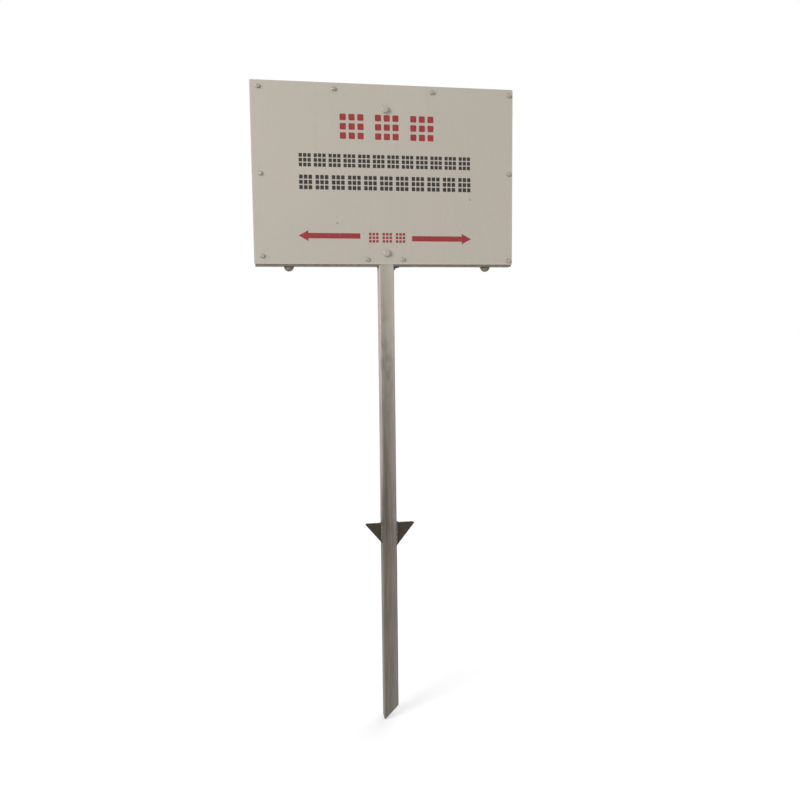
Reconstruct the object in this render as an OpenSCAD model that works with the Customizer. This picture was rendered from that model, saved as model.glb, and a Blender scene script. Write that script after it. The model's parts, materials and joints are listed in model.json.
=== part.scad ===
// Warning sign on a square steel post that is driven into the ground.
// The origin is on the post's axis at the ground line, level with the tops of the barbs.
// The printed face looks towards -Y and the post runs along Z.

/* [Panel] */
// Width of the sign panel
panel_w = 600; // [400:10:900]
// Height of the sign panel
panel_h = 400; // [300:10:600]
// Thickness of the panel sheet
panel_t = 1.5; // [1:0.25:3]
// Corner radius of the panel
panel_corner_r = 2; // [1:0.5:12]

/* [Post] */
// Outer width of the square tube
post_w = 35; // [30:1:50]
// Wall thickness of the tube
post_wall = 2; // [1.5:0.5:2.5]
// Outer corner radius of the tube
post_corner_r = 3; // [3:0.5:6]
// Height of the panel's lower edge above the ground line
clear_h = 610; // [300:10:1500]
// Length of the post below the ground line
bury_len = 490; // [300:10:700]
// Angle of the cut at the foot, measured from level
foot_angle = 45; // [30:5:60]
// Thickness of the plate that closes the top of the tube
cap_t = 3; // [2:0.5:5]

/* [Rear frame] */
// Leg width of the angle bars behind the panel
angle_leg = 25; // [20:1:32]
// Thickness of the angle bars
angle_t = 3; // [2:0.5:4]
// How far the frame stays inside the panel's top and side edges
frame_inset = 2; // [0:0.5:5]
// How far the lower rail shows below the panel
frame_drop = 4.5; // [0:0.5:6]

/* [Barbs] */
// How far the left barb stands out from the post
barb_left_w = 40; // [25:1:60]
// Height of the left barb along the post
barb_left_h = 50; // [30:1:80]
// How far the right barb stands out from the post
barb_right_w = 43; // [25:1:60]
// Height of the right barb along the post
barb_right_h = 57; // [30:1:80]
// Front of the barbs, behind the front of the post
barb_setback = 4; // [4:0.5:12]
// Thickness of the barb plates
barb_t = 5; // [3:0.5:8]
// Blunt end at the barbs' points
barb_blunt = 2.5; // [0.5:0.5:4]

/* [Panel screws] */
// Shank diameter of the panel screws
screw_d = 4.8; // [4:0.1:5.5]
// Length of the panel screws under the head
screw_len = 19; // [16:1:25]
// Width across flats of the screw heads
screw_af = 8; // [7:0.5:9]
// Height of the screw heads above the flange
screw_head_h = 3.2; // [2.5:0.1:4]
// Diameter of the flange under the screw heads
screw_flange_d = 11; // [10:0.5:12]
// Thickness of that flange
screw_flange_t = 1; // [0.8:0.1:1.5]
// Left column of screws, from the panel's left edge
screw_left_in = 18; // [12:1:22]
// Right column of screws, from the panel's right edge
screw_right_in = 9; // [8.5:0.5:10]
// Upper row of screws, from the panel's top edge
screw_top_in = 13.5; // [12:0.5:16]
// Upper screw left of the post, from the post's axis
screw_top_left_x = 115; // [60:1:150]
// Upper screw right of the post, from the post's axis
screw_top_right_x = 109; // [60:1:150]
// Left side screw, above the middle of the panel
screw_left_mid_z = -1; // [-30:1:30]
// Right side screw, above the middle of the panel
screw_right_mid_z = 9; // [-30:1:30]
// Lower left corner screw, above the panel's lower edge
screw_low_left_z = 17.5; // [16:0.5:19]
// Lower right corner screw, above the panel's lower edge
screw_low_right_z = 8.5; // [8:0.5:10]
// Lower screw left of the post, from the side of the post
screw_near_left = 27; // [15:1:60]
// Lower screw right of the post, from the side of the post
screw_near_right = 20; // [15:1:60]
// Lower screws beside the post, above the panel's lower edge
screw_near_z = 11; // [9:0.5:14]

/* [Post bolts] */
// Diameter of the two bolts that hold the panel to the post
bolt_d = 8; // [6:1:10]
// Width across flats of their heads and nuts
bolt_af = 13; // [12:1:16]
// Height of their heads
bolt_head_h = 5.3; // [4:0.1:7]
// Thickness of their nuts
bolt_nut_h = 6.5; // [5:0.1:8]
// Diameter of their washers
bolt_washer_d = 17; // [17:0.5:20]
// Thickness of their washers
bolt_washer_t = 1.6; // [1:0.1:2.5]
// Upper bolt, below the panel's top edge
bolt_top_in = 55; // [40:1:90]
// Lower bolt, above the panel's lower edge
bolt_low_in = 25; // [15:1:60]

/* [Hanging lugs] */
// Radius of the half-round lugs under the lower rail
lug_r = 11.5; // [11:0.5:16]
// Thickness of the lugs
lug_t = 4; // [3:0.5:6]
// Left lug, from the panel's left edge
lug_left_in = 77; // [40:1:120]
// Right lug, from the panel's right edge
lug_right_in = 63; // [40:1:120]
// Front of the lugs, behind the back of the panel
lug_setback = 8.5; // [7:0.5:11]
// Diameter of the bolt in each lug
lug_bolt_d = 6; // [5:0.5:6]
// Width across flats of that bolt's head and nut
lug_bolt_af = 10; // [9:0.5:10]
// Height of that bolt's head
lug_head_h = 4; // [3:0.5:5]
// Thickness of that bolt's nut
lug_nut_h = 5; // [4:0.5:6]

/* [Welds] */
// Leg of the upright weld beads along the barbs
barb_weld = 4; // [2:0.5:4]
// Leg of the weld beads on top of the barbs
barb_top_weld = 5.5; // [2:0.5:8]
// Leg of the upright weld beads where the lower rail meets the post
rail_upright_weld = 4; // [2:0.5:5]
// Leg of the bead under the lower rail, left of the post
rail_weld_left = 4; // [2:0.5:8]
// Leg of the bead under the lower rail, right of the post
rail_weld_right = 10; // [4:0.5:14]
// Leg of the beads in the frame's inner corners
corner_weld = 4; // [2:0.5:5]
// Leg of the small beads that hold the lugs
lug_weld = 2.5; // [1.5:0.25:3]

/* [Hidden] */
$fn = 64;

// Colours of the finished sign
paint_colour = "#b8b1a6";
zinc_colour = "#9a948a";
frame_colour = "#766e62";
barb_colour = "#423b34";
bead_colour = "#6e675f";
fastener_colour = "#a9a59c";

// How much wider the panel's holes are than the screws, and the washers' than the bolts
hole_play = 0.5;
// How much wider the holes in the panel and the post are than the bolts
bolt_play = 1;
// How much wider the threaded holes are than what is screwed into them
thread_play = 0.2;
// Side room of the post in the top rail's notch
notch_gap = 0.5;
// Room between a lug bolt's head and the rail above it
lug_head_gap = 0.5;
// Room at both ends of the small beads on the lugs
lug_weld_room = 0.5;
// How far a bolt stands out of its nut
bolt_end = 3;
// Length that a cutting shape runs past what it cuts
past = 1;
// How much narrower the rim of a screw's flange is in front
flange_slope = 0.6;
// Chamfer at a bolt's end, as a share of its diameter
bolt_chamfer = 0.125;
// Shape of the screws' drill points
drill_d = 3.9;
drill_len = 4;
drill_tip = 2;
// Share of a hexagon's width that is flat on top, and the slope of its chamfer
hex_top = 0.95;
hex_slope = tan(60);

// Planes and levels that the pieces share
half_post = post_w / 2;
back_y = -half_post;
front_y = back_y - panel_t;
low_z = clear_h;
top_z = clear_h + panel_h;
half_panel = panel_w / 2;
frame_low_z = low_z - frame_drop;
frame_top_z = top_z - frame_inset;
half_frame = half_panel - frame_inset;
frame_h = frame_top_z - frame_low_z;
flange_under_z = frame_top_z - angle_t;
post_top_z = flange_under_z - cap_t;
barb_front_y = back_y + barb_setback;

// Places of the fasteners on the panel, as [x, z]
screw_top_z = top_z - screw_top_in;
screw_left_x = -half_panel + screw_left_in;
screw_right_x = half_panel - screw_right_in;
top_screw_places = [
    [screw_left_x, screw_top_z],
    [-screw_top_left_x, screw_top_z],
    [screw_top_right_x, screw_top_z],
    [screw_right_x, screw_top_z]
];
side_screw_places = [
    [screw_left_x, (low_z + top_z) / 2 + screw_left_mid_z],
    [screw_right_x, (low_z + top_z) / 2 + screw_right_mid_z]
];
bottom_screw_places = [
    [screw_left_x, low_z + screw_low_left_z],
    [-half_post - screw_near_left, low_z + screw_near_z],
    [half_post + screw_near_right, low_z + screw_near_z],
    [screw_right_x, low_z + screw_low_right_z]
];
screw_places = concat(top_screw_places, side_screw_places, bottom_screw_places);
bolt_places = [[0, top_z - bolt_top_in], [0, low_z + bolt_low_in]];
lug_places = [-half_panel + lug_left_in, half_panel - lug_right_in];
lug_front_y = back_y + lug_setback;
lug_bolt_z = frame_low_z - lug_bolt_af / 2 - lug_head_gap;

// Rectangle with round corners, centred on the origin
module rounded_rectangle(size, r) {
    square([size[0] - 2 * r, size[1]], center = true);
    square([size[0], size[1] - 2 * r], center = true);
    for (sx = [-1, 1])
        for (sy = [-1, 1])
            translate([sx * (size[0] / 2 - r), sy * (size[1] / 2 - r)])
                circle(r);
}

// Places its children, drawn along +Z, so that they run towards +Y from the plane y
module along_y(place, y) {
    translate([place[0], y, place[1]])
        rotate([-90, 0, 0])
            children();
}

// Round holes of diameter d through everything between two planes
module holes(places, d, y0, y1) {
    for (place = places)
        along_y(place, y0)
            cylinder(d = d, h = y1 - y0);
}

// Hexagon with its outer rim chamfered, from z = -h up to z = 0
module hex_head(af, h) {
    translate([0, 0, -h])
        intersection() {
            cylinder(d = af / cos(30), h = h, $fn = 6);
            cylinder(r1 = hex_top * af / 2, r2 = hex_top * af / 2 + h * hex_slope, h = h);
        }
}

// Bolt with its head below z = 0 and its shank up to z = len
module hex_bolt(d, len, af, head_h) {
    chamfer = bolt_chamfer * d;
    hex_head(af, head_h);
    cylinder(d = d, h = len - chamfer);
    translate([0, 0, len - chamfer])
        cylinder(d1 = d, d2 = d - 2 * chamfer, h = chamfer);
}

// Nut from z = 0 up to z = h, with both rims chamfered
module hex_nut(d, af, h) {
    difference() {
        intersection() {
            cylinder(d = af / cos(30), h = h, $fn = 6);
            cylinder(r1 = hex_top * af / 2, r2 = hex_top * af / 2 + h * hex_slope, h = h);
            cylinder(r1 = hex_top * af / 2 + h * hex_slope, r2 = hex_top * af / 2, h = h);
        }
        translate([0, 0, -past])
            cylinder(d = d + thread_play, h = h + 2 * past);
    }
}

// Flat ring from z = 0 up to z = t
module washer(hole_d, d, t) {
    difference() {
        cylinder(d = d, h = t);
        translate([0, 0, -past])
            cylinder(d = hole_d, h = t + 2 * past);
    }
}

// Self-drilling screw with its flange below z = 0
module panel_screw() {
    translate([0, 0, -screw_flange_t])
        cylinder(d1 = screw_flange_d - flange_slope, d2 = screw_flange_d, h = screw_flange_t);
    translate([0, 0, -screw_flange_t])
        hex_head(screw_af, screw_head_h);
    cylinder(d = screw_d, h = screw_len - drill_len - drill_tip);
    cylinder(d = drill_d, h = screw_len - drill_tip);
    translate([0, 0, screw_len - drill_tip])
        cylinder(r1 = drill_d / 2, r2 = 0, h = drill_tip);
}

module screw_group(places) {
    color(fastener_colour)
        for (place = places)
            along_y(place, front_y)
                panel_screw();
}

// Section of an angle bar: its outer edge at x = 0, its flange along +y
module angle_section() {
    root_r = angle_t;
    square([angle_leg, angle_t]);
    square([angle_t, angle_leg]);
    difference() {
        translate([angle_t, angle_t])
            square(root_r);
        translate([angle_t + root_r, angle_t + root_r])
            circle(root_r);
    }
}

// Angle bar along z, outer edge at x = 0, back of the panel at y = 0, each end mitred or square
module angle_bar(z0, z1, mitre0, mitre1) {
    intersection() {
        translate([0, 0, z0])
            linear_extrude(height = z1 - z0)
                angle_section();
        translate([0, angle_leg + past, 0])
            rotate([90, 0, 0])
                linear_extrude(height = angle_leg + 2 * past)
                    polygon([
                        [0, z0],
                        [angle_leg, z0 + (mitre0 ? angle_leg : 0)],
                        [angle_leg, z1 - (mitre1 ? angle_leg : 0)],
                        [0, z1]
                    ]);
    }
}

module frame_holes() {
    holes(screw_places, screw_d + thread_play, back_y - past, back_y + angle_leg / 2);
}

module panel() {
    color(paint_colour)
        difference() {
            translate([0, back_y, (low_z + top_z) / 2])
                rotate([90, 0, 0])
                    linear_extrude(height = panel_t)
                        rounded_rectangle([panel_w, panel_h], panel_corner_r);
            holes(screw_places, screw_d + hole_play, front_y - past, back_y + past);
            holes(bolt_places, bolt_d + bolt_play, front_y - past, back_y + past);
        }
}

module post() {
    color(zinc_colour)
        difference() {
            translate([0, 0, -bury_len])
                linear_extrude(height = bury_len + post_top_z)
                    difference() {
                        rounded_rectangle([post_w, post_w], post_corner_r);
                        rounded_rectangle([post_w - 2 * post_wall, post_w - 2 * post_wall],
                                          post_corner_r - post_wall);
                    }
            holes(bolt_places, bolt_d + bolt_play, back_y - past, half_post + past);
            foot_cut();
        }
}

// Wedge under the slanting end of the post, which comes to a point on the left
module foot_cut() {
    run = post_w + past;
    translate([-half_post, half_post + past, -bury_len])
        rotate([90, 0, 0])
            linear_extrude(height = post_w + 2 * past)
                polygon([[0, 0], [run, run * tan(foot_angle)], [run, -past], [0, -past]]);
}

module post_cap() {
    color(zinc_colour)
        translate([0, 0, post_top_z])
            linear_extrude(height = cap_t)
                rounded_rectangle([post_w, post_w], post_corner_r);
}

module top_rail() {
    color(frame_colour)
        difference() {
            translate([0, back_y, frame_top_z])
                rotate([0, 90, 0])
                    angle_bar(-half_frame, half_frame, true, true);
            frame_holes();
            // Notch in the upright leg, under the flange, that lets the post pass
            translate([-half_post - notch_gap, back_y - past, frame_top_z - angle_leg - past])
                cube([post_w + 2 * notch_gap, angle_leg + 2 * past, angle_leg - angle_t + past]);
        }
}

// Half of the lower rail, from the frame's left corner to the side of the post
module bottom_rail() {
    translate([0, back_y, frame_low_z])
        rotate([0, -90, 0])
            angle_bar(half_post, half_frame, false, true);
}

module bottom_rail_left() {
    color(frame_colour)
        difference() {
            bottom_rail();
            frame_holes();
        }
}

module bottom_rail_right() {
    color(frame_colour)
        difference() {
            mirror([1, 0, 0])
                bottom_rail();
            frame_holes();
        }
}

module stile() {
    translate([-half_frame, back_y, frame_low_z])
        angle_bar(0, frame_h, true, true);
}

module left_stile() {
    color(frame_colour)
        difference() {
            stile();
            frame_holes();
        }
}

module right_stile() {
    color(frame_colour)
        difference() {
            mirror([1, 0, 0])
                stile();
            frame_holes();
        }
}

// Bead in the inner corner where two flanges of the rear frame meet
module corner_welds() {
    color(bead_colour)
        for (sx = [-1, 1])
            for (sz = [-1, 1])
                translate([sx * (half_frame - angle_t), back_y + angle_leg,
                           sz > 0 ? frame_top_z - angle_t : frame_low_z + angle_t])
                    rotate([90, 0, 0])
                        linear_extrude(height = angle_leg - 2 * angle_t)
                            polygon([[0, 0], [-sx * corner_weld, 0], [0, -sz * corner_weld]]);
}

// Right-angled bead section in the corner at the origin, towards -x and -y
module bead_section(leg) {
    polygon([[0, 0], [-leg, 0], [0, -leg]]);
}

// Outline of the post, for beads that lie against its round corners
module post_outline() {
    rounded_rectangle([post_w, post_w], post_corner_r);
}

module post_welds() {
    color(bead_colour) {
        // Under the lower rail's flange, on both sides of the post
        for (side = [[-1, rail_weld_left], [1, rail_weld_right]])
            translate([side[0] * half_post, 0, frame_low_z])
                mirror([side[0] > 0 ? 1 : 0, 0, 0])
                    translate([0, back_y + angle_leg, 0])
                        rotate([90, 0, 0])
                            linear_extrude(height = angle_leg - post_corner_r)
                                bead_section(side[1]);
        // Upright beads behind the lower rail's legs
        for (side = [-1, 1])
            translate([0, 0, frame_low_z + 2 * angle_t])
                linear_extrude(height = angle_leg - 2 * angle_t)
                    difference() {
                        intersection() {
                            translate([side * half_post, back_y + angle_t])
                                circle(rail_upright_weld);
                            translate([side * half_post - rail_upright_weld, back_y + angle_t])
                                square(2 * rail_upright_weld);
                        }
                        post_outline();
                    }
        // Behind the upper flange, on the plate that closes the tube
        translate([0, back_y + angle_leg, flange_under_z])
            rotate([0, -90, 0])
                linear_extrude(height = post_w - 2 * post_corner_r, center = true)
                    polygon([[0, 0], [angle_t, 0], [0, angle_t]]);
    }
}

// Barb on the right of the post: level on top, tapering down to the post
module barb(w, h) {
    translate([half_post, barb_front_y + barb_t, 0])
        rotate([90, 0, 0])
            linear_extrude(height = barb_t)
                polygon([[0, 0], [w - barb_blunt, 0], [w, -barb_blunt], [0, -h]]);
}

module barb_left() {
    color(barb_colour)
        mirror([1, 0, 0])
            barb(barb_left_w, barb_left_h);
}

module barb_right() {
    color(barb_colour)
        barb(barb_right_w, barb_right_h);
}

module barb_welds() {
    color(bead_colour)
        for (barb = [[-1, barb_left_h], [1, barb_right_h]]) {
            side = barb[0];
            run = barb[1] - 2 * barb_weld;
            // In front of the barb, against the post's round corner
            translate([0, 0, -run])
                linear_extrude(height = run)
                    difference() {
                        intersection() {
                            translate([side * half_post, barb_front_y])
                                circle(barb_weld);
                            translate([side * half_post - barb_weld, barb_front_y - barb_weld])
                                square([2 * barb_weld, barb_weld]);
                        }
                        post_outline();
                    }
            // Behind the barb, against the post's flat side
            translate([side * half_post, barb_front_y + barb_t, -run])
                linear_extrude(height = run)
                    polygon([[0, 0], [side * barb_weld, 0], [0, barb_weld]]);
            // On top of the barb
            translate([side * half_post, barb_front_y + barb_t, 0])
                rotate([90, 0, 0])
                    linear_extrude(height = barb_t)
                        polygon([[0, 0], [side * barb_top_weld, 0], [0, barb_top_weld]]);
        }
}

// Half-round plate under the lower rail, with its bolt hole
module lug(x) {
    color(frame_colour)
        difference() {
            translate([x, lug_front_y + lug_t, frame_low_z])
                rotate([90, 0, 0])
                    linear_extrude(height = lug_t)
                        intersection() {
                            circle(lug_r);
                            translate([-lug_r, -lug_r])
                                square([2 * lug_r, lug_r]);
                        }
            along_y([x, lug_bolt_z], lug_front_y - past)
                cylinder(d = lug_bolt_d + hole_play, h = lug_t + 2 * past);
        }
}

module lug_left() {
    lug(lug_places[0]);
}

module lug_right() {
    lug(lug_places[1]);
}

module lug_welds() {
    inner_x = lug_bolt_af / cos(30) / 2 + lug_weld_room;
    outer_x = sqrt(lug_r * lug_r - lug_weld * lug_weld) - lug_weld_room;
    color(bead_colour)
        for (x = lug_places)
            for (side = [-1, 1])
                for (face = [[lug_front_y, -1], [lug_front_y + lug_t, 1]])
                    translate([x + side * (inner_x + outer_x) / 2, face[0], frame_low_z])
                        rotate([90, 0, 90])
                            linear_extrude(height = outer_x - inner_x, center = true)
                                polygon([[0, 0], [face[1] * lug_weld, 0], [0, -lug_weld]]);
}

module lug_bolts() {
    color(fastener_colour)
        for (x = lug_places)
            along_y([x, lug_bolt_z], lug_front_y)
                hex_bolt(lug_bolt_d, lug_t + lug_nut_h + bolt_end, lug_bolt_af, lug_head_h);
}

module lug_nuts() {
    color(fastener_colour)
        for (x = lug_places)
            along_y([x, lug_bolt_z], lug_front_y + lug_t)
                hex_nut(lug_bolt_d, lug_bolt_af, lug_nut_h);
}

module top_screws() {
    screw_group(top_screw_places);
}

module side_screws() {
    screw_group(side_screw_places);
}

module bottom_screws() {
    screw_group(bottom_screw_places);
}

module post_bolts() {
    grip = bolt_washer_t + panel_t + post_w + bolt_washer_t;
    color(fastener_colour)
        for (place = bolt_places)
            along_y(place, front_y - bolt_washer_t)
                hex_bolt(bolt_d, grip + bolt_nut_h + bolt_end, bolt_af, bolt_head_h);
}

module post_washers() {
    color(fastener_colour)
        for (place = bolt_places)
            for (y = [front_y - bolt_washer_t, half_post])
                along_y(place, y)
                    washer(bolt_d + hole_play, bolt_washer_d, bolt_washer_t);
}

module post_nuts() {
    color(fastener_colour)
        for (place = bolt_places)
            along_y(place, half_post + bolt_washer_t)
                hex_nut(bolt_d, bolt_af, bolt_nut_h);
}

panel();
post();
post_cap();
top_rail();
bottom_rail_left();
bottom_rail_right();
left_stile();
right_stile();
corner_welds();
post_welds();
barb_left();
barb_right();
barb_welds();
lug_left();
lug_right();
lug_welds();
lug_bolts();
lug_nuts();
top_screws();
side_screws();
bottom_screws();
post_bolts();
post_washers();
post_nuts();
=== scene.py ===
import json
import math

import bmesh
import bpy
from mathutils import Matrix, Vector


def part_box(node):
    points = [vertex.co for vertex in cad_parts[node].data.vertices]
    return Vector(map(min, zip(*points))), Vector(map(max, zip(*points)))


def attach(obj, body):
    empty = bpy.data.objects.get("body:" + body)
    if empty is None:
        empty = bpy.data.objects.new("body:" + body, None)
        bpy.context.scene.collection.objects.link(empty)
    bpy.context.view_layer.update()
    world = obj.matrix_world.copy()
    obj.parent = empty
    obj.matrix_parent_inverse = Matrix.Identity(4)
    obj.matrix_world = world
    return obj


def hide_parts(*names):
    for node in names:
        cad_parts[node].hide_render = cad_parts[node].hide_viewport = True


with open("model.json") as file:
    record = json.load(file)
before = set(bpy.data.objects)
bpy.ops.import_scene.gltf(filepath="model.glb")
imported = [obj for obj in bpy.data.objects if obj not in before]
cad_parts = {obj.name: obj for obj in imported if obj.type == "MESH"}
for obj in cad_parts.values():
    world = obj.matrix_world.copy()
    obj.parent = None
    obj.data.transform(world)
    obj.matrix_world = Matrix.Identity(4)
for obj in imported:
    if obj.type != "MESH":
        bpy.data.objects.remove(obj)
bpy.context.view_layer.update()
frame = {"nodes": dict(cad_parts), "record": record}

MM = 0.001

# Places and sizes that come from the frame
PANEL_LOW, PANEL_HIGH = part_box("panel")
POST_LOW, POST_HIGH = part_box("post")
RAIL_LOW, RAIL_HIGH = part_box("bottom_rail_right")
CAP_LOW, CAP_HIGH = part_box("post_cap")
TOP_RAIL_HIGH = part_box("top_rail")[1]
HALF_POST = POST_HIGH.x
FOOT_Z = POST_LOW.z
PANEL_FRONT_Y = PANEL_LOW.y
PANEL_BACK_Y = PANEL_HIGH.y
PANEL_LOW_Z = PANEL_LOW.z

# Thickness of the frame's angle bar
ANGLE_T = 3 * MM

# Camera: focal length in pixels of the 800-pixel picture, place, three turns, and how far it sees
PICTURE_W = 800
FOCAL_PX = 750
SENSOR_W = 36
CAMERA_AT = Vector((-0.2543, -1.7527, 0.4645))
CAMERA_PITCH = math.radians(5.52)
CAMERA_YAW = math.radians(9.245)
CAMERA_ROLL = math.radians(-0.59)
VIEW_RANGE = 100

# Colours as they look on the object; some hold painted highlight or shade
PAINT = "#b8b0a5"
PAINT_WARM = "#bab0a4"
PAINT_COOL = "#b4afa3"
# Painted highlight along the sheet's edges
PAINT_RIM_HIGHLIGHT = "#cbc4b9"
DUST = "#978d80"
STAIN = "#5e554b"
RED_INK = "#8c2327"
RED_INK_WORN = "#9a3f42"
BLACK_INK = "#1a1613"
BLACK_INK_WORN = "#38322d"
ZINC_TOP = "#a19a8e"
ZINC_MID = "#766e64"
ZINC_DULL = "#473f37"
ZINC_LOW = "#5f574e"
ZINC_BLUE = "#646560"
# Painted highlight on the post's corners and sides, and the pale lines from drawing the tube
ZINC_HIGHLIGHT_AND_DRAWN = "#bcb4aa"
MILL_SCALE = "#281f15"
MILL_SCALE_LIGHT = "#382e20"
RUST_STAIN = "#4a3526"
PRIMER = "#6a6256"
PRIMER_LIGHT = "#80766a"
# Lugs: the frame's steel made lighter, painted light where they sit in shade under the sheet and rail
LUG_PAINTED_LIT_DARK = "#80776a"
LUG_PAINTED_LIT_PALE = "#a59b8a"
BEAD_GREY = "#6b635a"
BEAD_DARK = "#433c34"
PLATED = "#b5afa5"
PLATED_DULL = "#8b857a"
# Painted shade under the sheet, with a yellow stain
PLATED_SHADE_AND_STAIN = "#6e6557"
PLATED_PAINTED = "#b7afa3"
PLATED_WORN = "#b0a89c"
FLOOR_GREY = 0.8


def tone(code):
    """Linear colour of a hexadecimal display colour."""
    values = [int(code[i:i + 2], 16) / 255 for i in (1, 3, 5)]
    return [v / 12.92 if v <= 0.04045 else ((v + 0.055) / 1.055) ** 2.4 for v in values] + [1]


class Finish:
    """A material being made, with a short call for each kind of node."""

    def __init__(self, name, metallic):
        self.material = bpy.data.materials.new(name)
        self.material.use_nodes = True
        self.tree = self.material.node_tree
        self.shader = self.tree.nodes["Principled BSDF"]
        self.shader.inputs["Metallic"].default_value = metallic
        self.place = self.add("ShaderNodeTexCoord").outputs["Object"]

    def add(self, kind):
        return self.tree.nodes.new(kind)

    def feed(self, socket, value):
        """Sets a socket to a number or colour, or joins it to another node's output."""
        if isinstance(value, bpy.types.NodeSocket):
            self.tree.links.new(value, socket)
        else:
            socket.default_value = value

    def noise(self, size, stretch=(1, 1, 1), detail=4):
        """Noise whose features are about size metres across, stretched along the axes."""
        mapping = self.add("ShaderNodeMapping")
        mapping.inputs["Scale"].default_value = [1 / (size * s) for s in stretch]
        self.feed(mapping.inputs["Vector"], self.place)
        noise = self.add("ShaderNodeTexNoise")
        noise.inputs["Scale"].default_value = 1
        noise.inputs["Detail"].default_value = detail
        self.feed(noise.inputs["Vector"], mapping.outputs[0])
        return noise.outputs[0]

    def axis(self, letter):
        split = self.add("ShaderNodeSeparateXYZ")
        self.feed(split.inputs[0], self.place)
        return split.outputs[letter]

    def span(self, value, low, high, out_low=0, out_high=1):
        """Takes value from low..high to out_low..out_high, and no further."""
        span = self.add("ShaderNodeMapRange")
        for socket, number in zip(span.inputs[:5], (value, low, high, out_low, out_high)):
            self.feed(socket, number)
        return span.outputs[0]

    def vary(self, size, low, high, least=0, most=1, stretch=(1, 1, 1), detail=4):
        """Goes from least to most where noise of that size goes from low to high."""
        return self.span(self.noise(size, stretch, detail), low, high, least, most)

    def reckon(self, operation, a, b):
        math_node = self.add("ShaderNodeMath")
        math_node.operation = operation
        self.feed(math_node.inputs[0], a)
        self.feed(math_node.inputs[1], b)
        return math_node.outputs[0]

    def mix(self, share, a, b):
        """Colour a, going over to b as share goes from 0 to 1."""
        mix = self.add("ShaderNodeMix")
        mix.data_type = "RGBA"
        # This node's colours are its inputs 6 and 7 and its output 2
        self.feed(mix.inputs[0], share)
        self.feed(mix.inputs[6], tone(a) if isinstance(a, str) else a)
        self.feed(mix.inputs[7], tone(b) if isinstance(b, str) else b)
        return mix.outputs[2]

    def ramp(self, value, stops):
        """Colour that runs through stops, a list of (place, display colour)."""
        ramp = self.add("ShaderNodeValToRGB")
        elements = ramp.color_ramp.elements
        while len(elements) < len(stops):
            elements.new(0.5)
        for element, (place, code) in zip(elements, stops):
            element.position = place
            element.color = tone(code)
        self.feed(ramp.inputs[0], value)
        return ramp.outputs[0]

    def level(self, value, points):
        """Number that runs through points, a list of (place, number from 0 to 1)."""
        curve = self.add("ShaderNodeFloatCurve")
        line = curve.mapping.curves[0]
        while len(line.points) < len(points):
            line.points.new(0.5, 0.5)
        for point, (place, number) in zip(line.points, points):
            point.location = (place, number)
            point.handle_type = "VECTOR"
        curve.mapping.update()
        self.feed(curve.inputs["Value"], value)
        return curve.outputs[0]

    def done(self, colour, roughness, height, depth):
        """Joins colour, roughness and a bump of that depth in metres to the shader."""
        self.feed(self.shader.inputs["Base Color"], colour)
        self.feed(self.shader.inputs["Roughness"], roughness)
        bump = self.add("ShaderNodeBump")
        bump.inputs["Distance"].default_value = depth
        self.feed(bump.inputs["Height"], height)
        self.feed(self.shader.inputs["Normal"], bump.outputs[0])
        return self.material


# Painted highlight along the sheet's rim: its width, and how strong it is
HIGHLIGHT_RIM = 4 * MM
HIGHLIGHT_RIM_SHARE = 0.4


def painted_sheet():
    finish = Finish("painted_sheet", metallic=0)
    clouds = finish.vary(size=160 * MM, low=0.35, high=0.65, detail=3)
    colour = finish.mix(clouds, PAINT_WARM, PAINT_COOL)
    patches = finish.vary(size=20 * MM, low=0.3, high=0.7, most=0.5, detail=5)
    colour = finish.mix(patches, colour, PAINT)
    # Thin rain marks down the sheet, and fine dirt
    streaks = finish.vary(size=7 * MM, low=0.56, high=0.75, most=0.07, stretch=(1, 1, 22))
    colour = finish.mix(streaks, colour, DUST)
    specks = finish.vary(size=2.2 * MM, low=0.72, high=0.8, most=0.4, detail=2)
    colour = finish.mix(specks, colour, DUST)
    # Painted highlight: paler along the lower edge and the sides, where light catches the edges
    low_rim_highlight = finish.span(finish.axis("Z"), PANEL_LOW_Z + HIGHLIGHT_RIM, PANEL_LOW_Z, 0, HIGHLIGHT_RIM_SHARE)
    reach = finish.reckon("ABSOLUTE", finish.axis("X"), 0)
    side_rim_highlight = finish.span(reach, PANEL_HIGH.x - HIGHLIGHT_RIM, PANEL_HIGH.x, 0, HIGHLIGHT_RIM_SHARE)
    colour = finish.mix(finish.reckon("MAXIMUM", low_rim_highlight, side_rim_highlight), colour, PAINT_RIM_HIGHLIGHT)
    roughness = finish.vary(size=50 * MM, low=0.3, high=0.7, least=0.42, most=0.58)
    grain = finish.noise(size=1.6 * MM, detail=2)
    return finish.done(colour, roughness, grain, depth=0.06 * MM)


def ink(name, fresh, worn):
    finish = Finish(name, metallic=0)
    wear = finish.vary(size=6 * MM, low=0.45, high=0.75, most=0.7, detail=6)
    colour = finish.mix(wear, fresh, worn)
    roughness = finish.vary(size=10 * MM, low=0.3, high=0.7, least=0.4, most=0.6)
    grain = finish.noise(size=1 * MM, detail=2)
    return finish.done(colour, roughness, grain, depth=0.03 * MM)


# The places below run across the post, or up it from its tip to the sheet's lower edge, from 0 to 1
# Zinc darker towards the post's tip
ZINC_UP = [(0, ZINC_LOW), (0.35, ZINC_LOW), (0.47, ZINC_DULL), (0.7, ZINC_MID), (1, ZINC_TOP)]
# How strong the painted highlight is across the front of the post: (place, strength)
LEFT_HIGHLIGHT = [(0, 0.5), (0.02, 0.48), (0.07, 0.36), (0.14, 0.12), (0.22, 0), (1, 0)]
RIGHT_HIGHLIGHT = [(0, 0), (0.32, 0), (0.5, 0.2), (0.75, 0.46), (0.94, 0.84), (1, 0.84)]
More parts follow.
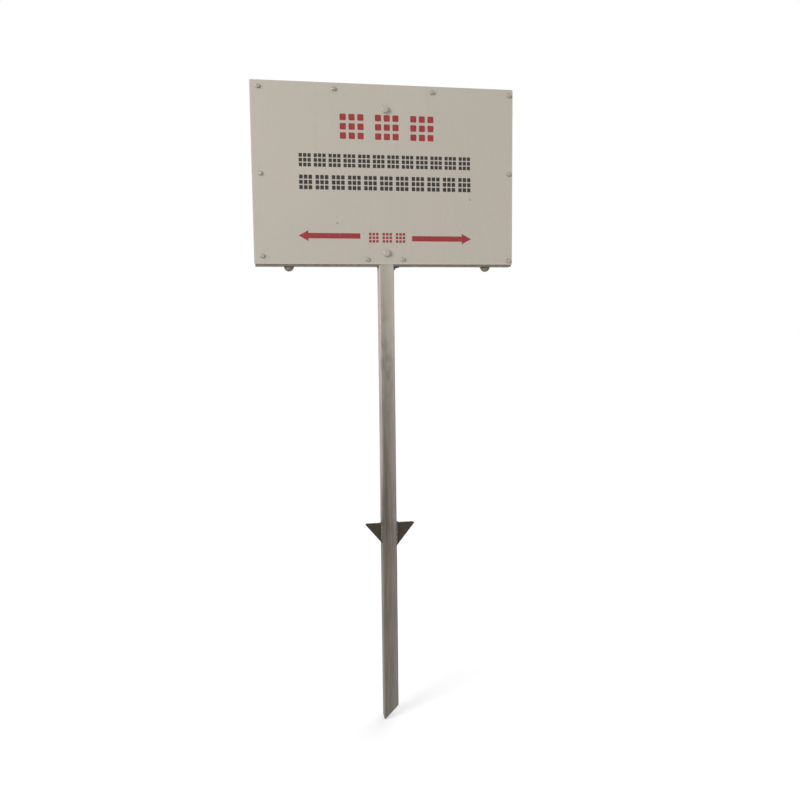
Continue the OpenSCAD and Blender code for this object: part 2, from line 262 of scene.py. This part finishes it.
# How much of that painted highlight there is up the post: none low down, and less right under the sheet,
# where its shade falls
LEFT_HIGHLIGHT_UP = [(0, 0), (0.44, 0), (0.6, 1), (0.9, 1), (0.97, 0.1), (1, 0.1)]
RIGHT_HIGHLIGHT_UP = [(0, 0.22), (0.43, 0.22), (0.46, 0.5), (0.74, 0.5), (0.9, 0.95), (1, 0.8)]
# How strong the blue patches are across and up the post, and the grime up it
BLUE_ACROSS = [(0, 0), (0.1, 1), (0.5, 1), (0.8, 0.3), (1, 0)]
BLUE_UP = [(0, 0.15), (0.6, 0.25), (0.7, 0.9), (0.84, 0.9), (0.93, 0.1), (1, 0)]
GRIME_UP = [(0, 0.8), (0.7, 0.9), (0.88, 0.3), (1, 0.05)]


def zinc_tube():
    finish = Finish("zinc_tube", metallic=0.3)
    level = finish.span(finish.axis("Z"), FOOT_Z, PANEL_LOW_Z)
    blotches = finish.vary(size=90 * MM, low=0.2, high=0.8, least=-0.06, most=0.06, stretch=(1, 1, 3))
    colour = finish.ramp(finish.reckon("ADD", level, blotches), ZINC_UP)
    # Painted highlight on the side faces and at the round corners
    across = finish.span(finish.axis("X"), -HALF_POST, HALF_POST)
    left = finish.reckon("MULTIPLY", finish.level(across, LEFT_HIGHLIGHT), finish.level(level, LEFT_HIGHLIGHT_UP))
    right = finish.reckon("MULTIPLY", finish.level(across, RIGHT_HIGHLIGHT), finish.level(level, RIGHT_HIGHLIGHT_UP))
    colour = finish.mix(finish.reckon("ADD", left, right), colour, ZINC_HIGHLIGHT_AND_DRAWN)
    blue = finish.vary(size=11 * MM, low=0.42, high=0.62, most=0.7, stretch=(1, 1, 2.5), detail=5)
    blue = finish.reckon("MULTIPLY", blue, finish.level(across, BLUE_ACROSS))
    colour = finish.mix(finish.reckon("MULTIPLY", blue, finish.level(level, BLUE_UP)), colour, ZINC_BLUE)
    # Lines from drawing the tube, then grime
    drawn = finish.vary(size=4.5 * MM, low=0.35, high=0.7, most=0.16, stretch=(1, 1, 30))
    colour = finish.mix(drawn, colour, ZINC_HIGHLIGHT_AND_DRAWN)
    grime = finish.vary(size=12 * MM, low=0.5, high=0.75, most=0.4, stretch=(1, 1, 6), detail=6)
    colour = finish.mix(finish.reckon("MULTIPLY", grime, finish.level(level, GRIME_UP)), colour, ZINC_DULL)
    roughness = finish.vary(size=20 * MM, low=0.3, high=0.7, least=0.4, most=0.62, stretch=(1, 1, 4))
    grain = finish.noise(size=4 * MM, stretch=(1, 1, 12))
    return finish.done(colour, roughness, grain, depth=0.15 * MM)


def mill_scale(name, dark, light, stain_share):
    finish = Finish(name, metallic=0.25)
    patches = finish.vary(size=14 * MM, low=0.35, high=0.7, detail=6)
    colour = finish.mix(patches, dark, light)
    stains = finish.vary(size=20 * MM, low=0.55, high=0.75, most=stain_share, detail=5)
    colour = finish.mix(stains, colour, RUST_STAIN)
    roughness = finish.vary(size=8 * MM, low=0.3, high=0.7, least=0.45, most=0.7)
    grain = finish.noise(size=1.8 * MM, detail=5)
    return finish.done(colour, roughness, grain, depth=0.22 * MM)


def weld_metal():
    finish = Finish("weld_bead", metallic=0.5)
    soot = finish.vary(size=6 * MM, low=0.4, high=0.7, detail=5)
    colour = finish.mix(soot, BEAD_GREY, BEAD_DARK)
    roughness = finish.vary(size=3 * MM, low=0.3, high=0.7, least=0.35, most=0.6)
    grain = finish.noise(size=1.2 * MM, detail=3)
    return finish.done(colour, roughness, grain, depth=0.2 * MM)


# Height above the sheet's lower edge past which fasteners at the post are its bolts
POST_BOLTS_UP = 20 * MM
WASHER_T = 1.6 * MM
WASHER_CLEAR = 0.1 * MM
SHADE_AND_STAIN_SHARE = 0.9
PAINTED_SHARE = 0.9
PLATED_METALLIC = 0.7
PAINTED_METALLIC = 0.2


def plated_steel():
    finish = Finish("plated_steel", PLATED_METALLIC)
    dull = finish.vary(size=4 * MM, low=0.35, high=0.7, detail=5)
    colour = finish.mix(dull, PLATED, PLATED_DULL)
    # Darker and yellower below the sheet's lower edge, on the lugs: painted shade under the sheet, and a
    # yellow stain
    below = finish.span(finish.axis("Z"), PANEL_LOW_Z, PANEL_LOW_Z - MM, 0, SHADE_AND_STAIN_SHARE)
    colour = finish.mix(below, colour, PLATED_SHADE_AND_STAIN)
    # In front of the sheet at the post: washers painted over, bolt heads worn dull
    depth = finish.axis("Y")
    off_middle = finish.reckon("ABSOLUTE", finish.axis("X"), 0)
    at_post = finish.reckon("LESS_THAN", off_middle, HALF_POST)
    above = finish.reckon("GREATER_THAN", finish.axis("Z"), PANEL_LOW_Z + POST_BOLTS_UP)
    in_front = finish.reckon("LESS_THAN", depth, PANEL_FRONT_Y)
    post_bolt = finish.reckon("MULTIPLY", finish.reckon("MULTIPLY", at_post, above), in_front)
    head = finish.reckon("LESS_THAN", depth, PANEL_FRONT_Y - WASHER_T - WASHER_CLEAR)
    covered = finish.mix(head, PLATED_PAINTED, PLATED_WORN)
    colour = finish.mix(finish.reckon("MULTIPLY", post_bolt, PAINTED_SHARE), colour, covered)
    metallic = finish.span(post_bolt, 0, 1, PLATED_METALLIC, PAINTED_METALLIC)
    finish.feed(finish.shader.inputs["Metallic"], metallic)
    roughness = finish.vary(size=2 * MM, low=0.3, high=0.7, least=0.3, most=0.5)
    grain = finish.noise(size=0.8 * MM, detail=3)
    return finish.done(colour, roughness, grain, depth=0.06 * MM)


FINISHES = {
    "painted_sheet": painted_sheet(),
    "zinc_tube": zinc_tube(),
    "frame_steel": mill_scale("frame_steel", PRIMER, PRIMER_LIGHT, stain_share=0.35),
    "barb_steel": mill_scale("barb_steel", MILL_SCALE, MILL_SCALE_LIGHT, stain_share=0.25),
    "weld_bead": weld_metal(),
    "plated_steel": plated_steel(),
    # Lighter copy of the frame steel: painted light on the lugs in shade
    "lug_steel_painted_lit": mill_scale("lug_steel_painted_lit", LUG_PAINTED_LIT_DARK, LUG_PAINTED_LIT_PALE, stain_share=0.15),
}
# Nodes with a finish of their own: the lugs, in a lighter copy of the frame steel that is painted light
# where they sit in shade
OWN_FINISHES = {"lug_left": "lug_steel_painted_lit", "lug_right": "lug_steel_painted_lit"}
RED = ink("red_ink", RED_INK, RED_INK_WORN)
BLACK = ink("black_ink", BLACK_INK, BLACK_INK_WORN)
STAINED = ink("stain", STAIN, DUST)


def dress_frame():
    """Gives every CAD node the finish of its slot, or its own."""
    for part in frame["record"]["subparts"]:
        name = OWN_FINISHES.get(part["node"], part["material_slot"])
        for holder in frame["nodes"][part["node"]].material_slots:
            holder.material = FINISHES[name]


def add_piece(name, mesh_maker, material):
    """Makes a mesh object from a bmesh, and fixes it to the one body."""
    mesh = bpy.data.meshes.new(name)
    bmesh.ops.recalc_face_normals(mesh_maker, faces=mesh_maker.faces)
    mesh_maker.to_mesh(mesh)
    mesh_maker.free()
    mesh.materials.append(material)
    piece = bpy.data.objects.new(name, mesh)
    bpy.context.scene.collection.objects.link(piece)
    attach(piece, "root")
    return piece


# Print: plain shapes on the panel's front, in millimetres from its lower middle
INK_T = 0.15
# Squares along each side of a mark, corner radii of squares and stains as shares, and corner steps
GRID = 3
SQUARE_ROUND = 0.15
STAIN_ROUND = 0.45
CORNER_STEPS = 3
TITLE = {"places": (-76, 4, 85), "z": 306, "w": 54, "h": 55, "gap": 0.42}
ROW_ONE = {"count": 12, "left": -196, "right": 198, "z": 230.5, "w": 27, "h": 29, "gap": 0.29}
ROW_TWO = {"count": 11, "left": -196, "right": 199, "z": 182, "w": 29, "h": 32, "gap": 0.29}
LABEL = {"places": (-29, 2, 33), "z": 60, "w": 22, "h": 22, "gap": 0.38}
STAINS = ((-112, 92, 4, 2), (198, 148.5, 3.5, 2.2))
ARROW_TIP = 200
ARROW_NECK = 178
ARROW_TAIL = 60
ARROW_SHAFT_H = 12
ARROW_HEAD_H = 24
ARROW_LEFT_Z = 63.5
ARROW_RIGHT_Z = 58.5


def rounded_box(x, z, w, h, r):
    """Outline of an upright rectangle with round corners."""
    outline = []
    corners = ((1, 1, 0), (-1, 1, 90), (-1, -1, 180), (1, -1, 270))
    for sx, sz, start in corners:
        for step in range(CORNER_STEPS + 1):
            turn = math.radians(start + 90 * step / CORNER_STEPS)
            outline.append((
                x + sx * (w / 2 - r) + r * math.cos(turn),
                z + sz * (h / 2 - r) + r * math.sin(turn),
            ))
    return outline


def mark(x, z, w, h, gap):
    """A mark of equal squares in a grid, with gaps of a share of a square between them."""
    cell_w = w / (GRID + (GRID - 1) * gap)
    cell_h = h / (GRID + (GRID - 1) * gap)
    outlines = []
    for column in range(GRID):
        for row in range(GRID):
            outlines.append(rounded_box(
                x - w / 2 + cell_w / 2 + column * cell_w * (1 + gap),
                z - h / 2 + cell_h / 2 + row * cell_h * (1 + gap),
                cell_w, cell_h, cell_w * SQUARE_ROUND,
            ))
    return outlines


def arrow(side, z):
    """Outline of an arrow that points away from the post."""
    points = [
        (ARROW_TAIL, -ARROW_SHAFT_H / 2), (ARROW_NECK, -ARROW_SHAFT_H / 2),
        (ARROW_NECK, -ARROW_HEAD_H / 2), (ARROW_TIP, 0), (ARROW_NECK, ARROW_HEAD_H / 2),
        (ARROW_NECK, ARROW_SHAFT_H / 2), (ARROW_TAIL, ARROW_SHAFT_H / 2),
    ]
    return [(side * x, z + dz) for x, dz in points]


def print_piece(name, outlines, material):
    """Thin layer of ink with these outlines on the front of the panel."""
    maker = bmesh.new()
    for outline in outlines:
        layers = []
        for y in (PANEL_FRONT_Y - INK_T * MM, PANEL_FRONT_Y):
            layers.append([maker.verts.new((x * MM, y, PANEL_LOW_Z + z * MM)) for x, z in outline])
        front, back = layers
        maker.faces.new(front)
        maker.faces.new(back[::-1])
        for i in range(len(outline)):
            j = (i + 1) % len(outline)
            maker.faces.new((front[i], back[i], back[j], front[j]))
    add_piece(name, maker, material)


def marks_at(places, z, w, h, gap):
    return [outline for x in places for outline in mark(x, z, w, h, gap)]


def row_places(row):
    """Centres of the marks of an evenly spaced row."""
    first = row["left"] + row["w"] / 2
    step = (row["right"] - row["w"] / 2 - first) / (row["count"] - 1)
    return [first + step * i for i in range(row["count"])]


def print_sign():
    for name, group in (("title_marks", TITLE), ("label_marks", LABEL)):
        outlines = marks_at(group["places"], group["z"], group["w"], group["h"], group["gap"])
        print_piece(name, outlines, RED)
    for name, row in (("upper_row", ROW_ONE), ("lower_row", ROW_TWO)):
        outlines = marks_at(row_places(row), row["z"], row["w"], row["h"], row["gap"])
        print_piece(name, outlines, BLACK)
    print_piece("arrow_left", [arrow(-1, ARROW_LEFT_Z)], RED)
    stains = [rounded_box(x, z, w, h, h * STAIN_ROUND) for x, z, w, h in STAINS]
    print_piece("stains", stains, STAINED)
    print_piece("arrow_right", [arrow(1, ARROW_RIGHT_Z)], RED)


# Weld beads: sway and swell are shares of the radius, with their rates in radians a radius
BEAD_SIDES = 12
RIPPLE_LENGTH = 2.2 * MM
RIPPLE_DEPTH = 0.14
RINGS_PER_RIPPLE = 4
LEAST_RINGS = 6
END_TAPER = 0.15
SWAY = 0.12
SWAY_RATE = 1.9
SWELL = 0.08
SWELL_RATE = 1.06
SEED_STEP = 1.7


def bead(maker, start, end, radius, seed):
    """A rope-like weld bead: overlapping ripples from start to end, tapered at both ends."""
    start, end = Vector(start), Vector(end)
    along = (end - start).normalized()
    across = along.orthogonal().normalized()
    other = along.cross(across)
    length = (end - start).length
    rings = max(LEAST_RINGS, round(length / RIPPLE_LENGTH) * RINGS_PER_RIPPLE)
    previous = None
    for i in range(rings + 1):
        run = i / rings * length
        from_end = min(run, length - run)
        taper = math.sqrt(min(1, (from_end + END_TAPER * radius) / radius))
        ripple = 1 - RIPPLE_DEPTH * ((i % RINGS_PER_RIPPLE) / RINGS_PER_RIPPLE)
        sway = SWAY * radius * math.sin(SWAY_RATE * run / radius + seed)
        swell = 1 + SWELL * math.sin(SWELL_RATE * run / radius + 2 * seed)
        r = radius * taper * ripple * swell
        centre = start + along * run + across * sway
        ring = []
        for k in range(BEAD_SIDES):
            turn = 2 * math.pi * k / BEAD_SIDES
            ring.append(maker.verts.new(
                centre + across * (r * math.cos(turn)) + other * (r * math.sin(turn))
            ))
        if previous:
            for k in range(BEAD_SIDES):
                n = (k + 1) % BEAD_SIDES
                maker.faces.new((previous[k], previous[n], ring[n], ring[k]))
        else:
            maker.faces.new(ring[::-1])
        previous = ring
    maker.faces.new(previous)


def bead_piece(name, beads, node):
    """One piece of beads, in place of the plain beads of a CAD node."""
    maker = bmesh.new()
    for number, (start, end, radius) in enumerate(beads):
        bead(maker, start, end, radius, SEED_STEP * number)
    piece = add_piece(name, maker, FINISHES["weld_bead"])
    for face in piece.data.polygons:
        face.use_smooth = True
    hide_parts(node)


# Beads at the barbs: radii, end above a barb's lower point, and way out of the plate
BARB_FRONT_R = 3.2 * MM
BARB_BACK_R = 2.6 * MM
BARB_TOP_R = 2.9 * MM
BARB_POINT = 8 * MM
BARB_FRONT_OUT = 0.6 * MM
BARB_BACK_OUT = 1 * MM
BARB_TOP_OUT = 0.8 * MM
BARB_SIDE_OUT = 1 * MM


def barb_beads():
    beads = []
    for node, side in (("barb_left", -1), ("barb_right", 1)):
        low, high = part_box(node)
        x = side * HALF_POST
        beside = x + side * BARB_SIDE_OUT
        foot = low.z + BARB_POINT
        front = low.y - BARB_FRONT_OUT
        back = high.y + BARB_BACK_OUT
        top = high.z + BARB_TOP_OUT
        beads.append(((x, front, foot), (x, front, high.z), BARB_FRONT_R))
        beads.append(((beside, back, foot), (beside, back, high.z), BARB_BACK_R))
        beads.append(((beside, low.y, top), (beside, high.y, top), BARB_TOP_R))
    return beads


# Runs under the lower rail: side of the post, way out from it, way down, radius.
# One on the left, and a broad patch laid side by side on the right
RAIL_RUNS = (
    (-1, 0.8 * MM, 0.6 * MM, 1.8 * MM),
    (1, 1.6 * MM, 1.6 * MM, 3.4 * MM),
    (1, 1.2 * MM, 5.4 * MM, 2.4 * MM),
    (1, 5.6 * MM, 1.0 * MM, 2.8 * MM),
    (1, 9.4 * MM, 0.6 * MM, 2.2 * MM),
    (1, 12.6 * MM, 0.3 * MM, 1.7 * MM),
)
# Way from the post's front to the start of those runs
RAIL_RUN_IN = 4 * MM
# The other beads at the post: radii, ways out of the metal, and way in from the plate's sides
RAIL_UPRIGHT_R = 3 * MM
RAIL_UPRIGHT_OUT = 0.8 * MM
CAP_BEAD_R = 2 * MM
CAP_BEAD_OUT = 0.7 * MM
CAP_BEAD_IN = 4 * MM


def post_beads():
    beads = []
    front = POST_LOW.y + RAIL_RUN_IN
    for side, out, down, radius in RAIL_RUNS:
        x = side * (HALF_POST + out)
        z = RAIL_LOW.z - down
        beads.append(((x, front, z), (x, RAIL_HIGH.y, z), radius))
    # Upright, behind the lower rail's legs
    y = PANEL_BACK_Y + ANGLE_T + RAIL_UPRIGHT_OUT
    for x in (-HALF_POST, HALF_POST):
        beads.append(((x, y, RAIL_LOW.z + 2 * ANGLE_T), (x, y, RAIL_HIGH.z), RAIL_UPRIGHT_R))
    # Across the plate that closes the tube
    y = TOP_RAIL_HIGH.y + CAP_BEAD_OUT
    z = CAP_HIGH.z + CAP_BEAD_OUT
    beads.append(((CAP_LOW.x + CAP_BEAD_IN, y, z), (CAP_HIGH.x - CAP_BEAD_IN, y, z), CAP_BEAD_R))
    return beads


# Beads inside the frame's corners: radius, way out of the legs, and end short of their edge
CORNER_BEAD_R = 2.4 * MM
CORNER_BEAD_OUT = 0.8 * MM
CORNER_BEAD_END = 1 * MM


def corner_beads():
    beads = []
    inset = ANGLE_T + CORNER_BEAD_OUT
    start, end = PANEL_BACK_Y + 2 * ANGLE_T, TOP_RAIL_HIGH.y - CORNER_BEAD_END
    for side in (-1, 1):
        x = side * (TOP_RAIL_HIGH.x - inset)
        for z in (RAIL_LOW.z + inset, TOP_RAIL_HIGH.z - inset):
            beads.append(((x, start, z), (x, end, z), CORNER_BEAD_R))
    return beads


# Beads at the lugs: radius, where they run from a lug's middle, and ways out of it and down
LUG_BEAD_R = 1.5 * MM
LUG_BEAD_SPAN = (6.6 * MM, 10.4 * MM)
LUG_BEAD_OUT = 0.5 * MM
LUG_BEAD_DOWN = 0.6 * MM


def lug_beads():
    beads = []
    for node in ("lug_left", "lug_right"):
        low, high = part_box(node)
        middle = (low.x + high.x) / 2
        z = high.z - LUG_BEAD_DOWN
        for side in (-1, 1):
            start, end = (middle + side * reach for reach in LUG_BEAD_SPAN)
            for y in (low.y - LUG_BEAD_OUT, high.y + LUG_BEAD_OUT):
                beads.append(((start, y, z), (end, y, z), LUG_BEAD_R))
    return beads


# Threads: steps to a turn, and the ridge's foot as shares of the radius and of the pitch
THREAD_STEPS = 14
THREAD_FOOT_R = 0.96
THREAD_FOOT_W = 0.42
# Share of the thread over which its ridge rises from the shank
THREAD_RUN_OUT = 1 / 6
# Turns up to which a thread is too short for that
SHORT_THREAD = 1.2


def thread(maker, x, z, y0, y1, radius, pitch, height):
    """A helical ridge round a shank that runs along Y, in millimetres."""
    turns = (y1 - y0) / pitch
    count = max(2, round(turns * THREAD_STEPS))
    previous = None
    for i in range(count + 1):
        t = i / count
        turn = 2 * math.pi * turns * t
        y = y0 + (y1 - y0) * t
        fade = min(1, min(t, 1 - t) / THREAD_RUN_OUT) if turns > SHORT_THREAD else 1
        foot_r, foot_w = radius * THREAD_FOOT_R, pitch * THREAD_FOOT_W
        section = ((foot_r, -foot_w), (radius + height * fade, 0), (foot_r, foot_w))
        ring = [
            maker.verts.new((
                (x + r * math.cos(turn)) * MM, (y + dy) * MM, (z + r * math.sin(turn)) * MM,
            ))
            for r, dy in section
        ]
        if previous:
            for k in range(2):
                maker.faces.new((previous[k], previous[k + 1], ring[k + 1], ring[k]))
            maker.faces.new((previous[2], previous[0], ring[0], ring[2]))
        else:
            maker.faces.new(ring)
        previous = ring
    maker.faces.new(previous[::-1])


# Points of a node are of one fastener if they are this near in X and in Z
SAME_FASTENER = 20 * MM


def centres(node):
    """Axes of the separate fasteners in a node, as (x, z, lowest y, highest y) in millimetres."""
    groups = []
    for vertex in frame["nodes"][node].data.vertices:
        for group in groups:
            apart = group[0].co - vertex.co
            if abs(apart.x) < SAME_FASTENER and abs(apart.z) < SAME_FASTENER:
                group.append(vertex)
                break
        else:
            groups.append([vertex])
    found = []
    for group in groups:
        xs, ys, zs = ([vertex.co[axis] for vertex in group] for axis in range(3))
        x = (min(xs) + max(xs)) / 2
        z = (min(zs) + max(zs)) / 2
        found.append((x / MM, z / MM, min(ys) / MM, max(ys) / MM))
    return found


# Screws, in millimetres: length of the drill tip, way from the frame to the thread, and thread
DRILL_TIP = 6.2
SCREW_CLEAR = 0.6
SCREW_THREAD = {"radius": 2.4, "pitch": 1.6, "height": 0.3}
# Bolts, in millimetres: their nuts, radius and pitch, and the height of the thread's ridge
BOLTS = (("post_bolts", "post_nuts", 4, 1.25), ("lug_bolts", "lug_nuts", 3, 1))
BOLT_RIDGE = 0.16
# Radius under the ridge, and length of the plain end, as shares of a bolt's radius
BOLT_SHANK = 0.98
BOLT_END = 0.25


def threads():
    maker = bmesh.new()
    behind_frame = (PANEL_BACK_Y + ANGLE_T) / MM + SCREW_CLEAR
    for node in ("top_screws", "side_screws", "bottom_screws"):
        for x, z, low, high in centres(node):
            thread(maker, x, z, behind_frame, high - DRILL_TIP, **SCREW_THREAD)
    for node, nuts, radius, pitch in BOLTS:
        nut_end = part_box(nuts)[1].y / MM
        for x, z, low, high in centres(node):
            end = high - radius * BOLT_END
            thread(maker, x, z, nut_end, end, radius * BOLT_SHANK, pitch, BOLT_RIDGE)
    add_piece("threads", maker, FINISHES["plated_steel"])


def seen_ray(tree):
    """1 for the rays that show the background: seen, mirrored or through glass."""
    path = tree.nodes.new("ShaderNodeLightPath")
    total = path.outputs["Is Camera Ray"]
    for name in ("Is Glossy Ray", "Is Transmission Ray"):
        add = tree.nodes.new("ShaderNodeMath")
        add.operation = "ADD"
        add.use_clamp = True
        tree.links.new(total, add.inputs[0])
        tree.links.new(path.outputs[name], add.inputs[1])
        total = add.outputs[0]
    return total


WORLD_LIGHT = 0.37
# Lights as (name, kind, power, size or angle, place the light comes from)
LIGHTS = (
    ("key_light", "SUN", 1.9, math.radians(30), (-3.0, -2.2, 1.7)),
    ("side_light", "AREA", 7, 0.9, (-1.3, -1.2, 1.4)),
    ("back_light", "SUN", 1.3, math.radians(60), (2.0, 3.0, 2.6)),
)
LIGHTS_AIM = Vector((0, 0, 0.8))
FLOOR_SIZE = 40
FLOOR_GLOW = 0.42
FLOOR_ROUGHNESS = 0.9


def light_room():
    world = bpy.data.worlds.new("world")
    bpy.context.scene.world = world
    world.use_nodes = True
    tree = world.node_tree
    pale = tree.nodes["Background"]
    pale.inputs["Strength"].default_value = WORLD_LIGHT
    pale.inputs["Color"].default_value = (1, 1, 1, 1)
    white = tree.nodes.new("ShaderNodeBackground")
    white.inputs["Color"].default_value = (1, 1, 1, 1)
    choose = tree.nodes.new("ShaderNodeMixShader")
    tree.links.new(seen_ray(tree), choose.inputs[0])
    tree.links.new(pale.outputs[0], choose.inputs[1])
    tree.links.new(white.outputs[0], choose.inputs[2])
    tree.links.new(choose.outputs[0], tree.nodes["World Output"].inputs[0])
    for name, kind, power, width, place in LIGHTS:
        light = bpy.data.lights.new(name, kind)
        light.energy = power
        if kind == "SUN":
            light.angle = width
        else:
            light.size = width
        lamp = bpy.data.objects.new(name, light)
        lamp.location = place
        lamp.rotation_euler = (LIGHTS_AIM - lamp.location).to_track_quat("-Z", "Y").to_euler()
        bpy.context.scene.collection.objects.link(lamp)


def lay_floor():
    """Pale floor at the level of the post's tip: white where it is lit, grey in the shadow."""
    maker = bmesh.new()
    bmesh.ops.create_grid(maker, x_segments=1, y_segments=1, size=FLOOR_SIZE / 2)
    mesh = bpy.data.meshes.new("floor")
    maker.to_mesh(mesh)
    maker.free()
    floor = bpy.data.objects.new("floor", mesh)
    floor.location.z = FOOT_Z
    bpy.context.scene.collection.objects.link(floor)
    material = bpy.data.materials.new("floor")
    material.use_nodes = True
    tree = material.node_tree
    shader = tree.nodes["Principled BSDF"]
    shader.inputs["Base Color"].default_value = (FLOOR_GREY, FLOOR_GREY, FLOOR_GREY, 1)
    shader.inputs["Roughness"].default_value = FLOOR_ROUGHNESS
    glow = tree.nodes.new("ShaderNodeEmission")
    strength = tree.nodes.new("ShaderNodeMath")
    strength.operation = "MULTIPLY"
    strength.inputs[1].default_value = FLOOR_GLOW
    tree.links.new(seen_ray(tree), strength.inputs[0])
    tree.links.new(strength.outputs[0], glow.inputs["Strength"])
    both = tree.nodes.new("ShaderNodeAddShader")
    tree.links.new(shader.outputs[0], both.inputs[0])
    tree.links.new(glow.outputs[0], both.inputs[1])
    tree.links.new(both.outputs[0], tree.nodes["Material Output"].inputs[0])
    mesh.materials.append(material)


def place_camera():
    camera = bpy.data.objects.new("camera", bpy.data.cameras.new("camera"))
    camera.data.sensor_width = SENSOR_W
    camera.data.lens = SENSOR_W * FOCAL_PX / PICTURE_W
    camera.data.clip_end = VIEW_RANGE
    turn = (
        Matrix.Rotation(-CAMERA_YAW, 4, "Z")
        @ Matrix.Rotation(-CAMERA_PITCH, 4, "X")
        @ Matrix.Rotation(-CAMERA_ROLL, 4, "Y")
        @ Matrix.Rotation(math.radians(90), 4, "X")
    )
    camera.matrix_world = Matrix.Translation(CAMERA_AT) @ turn
    bpy.context.scene.collection.objects.link(camera)
    bpy.context.scene.camera = camera


place_camera()
light_room()
lay_floor()
dress_frame()
print_sign()
bead_piece("barb_weld_beads", barb_beads(), "barb_welds")
bead_piece("post_weld_beads", post_beads(), "post_welds")
bead_piece("corner_weld_beads", corner_beads(), "corner_welds")
bead_piece("lug_weld_beads", lug_beads(), "lug_welds")
threads()

bpy.context.scene.view_settings.view_transform = "Standard"
